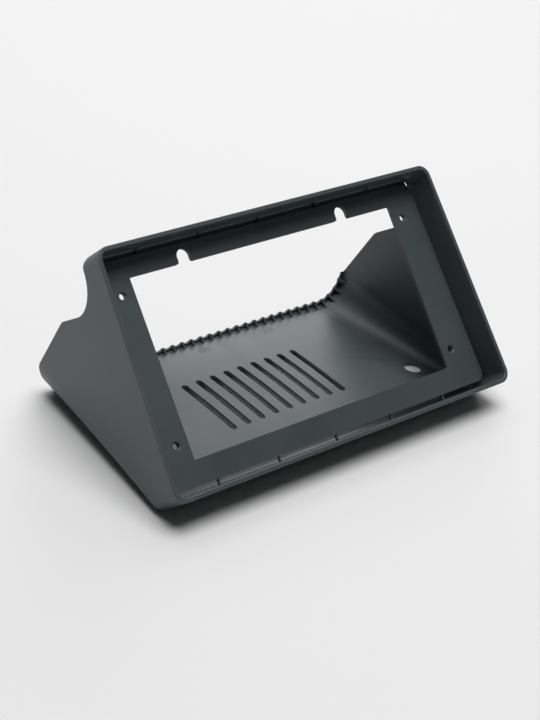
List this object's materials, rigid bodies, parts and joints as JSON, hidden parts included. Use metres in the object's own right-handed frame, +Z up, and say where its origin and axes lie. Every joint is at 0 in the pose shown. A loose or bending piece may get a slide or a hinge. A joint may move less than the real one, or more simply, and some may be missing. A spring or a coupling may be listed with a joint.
{
  "type": "tilted display housing",
  "caption": "One-piece moulded plastic desk housing with a leaning rim, a recessed display panel with a window, a vented floor and an open back.",
  "frame": {"origin": "on the ground, at the middle of the width and of the depth", "axes": "+X across the face, +Y from the face to the open back, +Z up"},
  "size_m": [0.2042, 0.1198, 0.1001],
  "materials": {
    "plastic": "matte"
  },
  "bodies": {
    "root": {"housing": "plastic"}
  },
  "joints": []
}
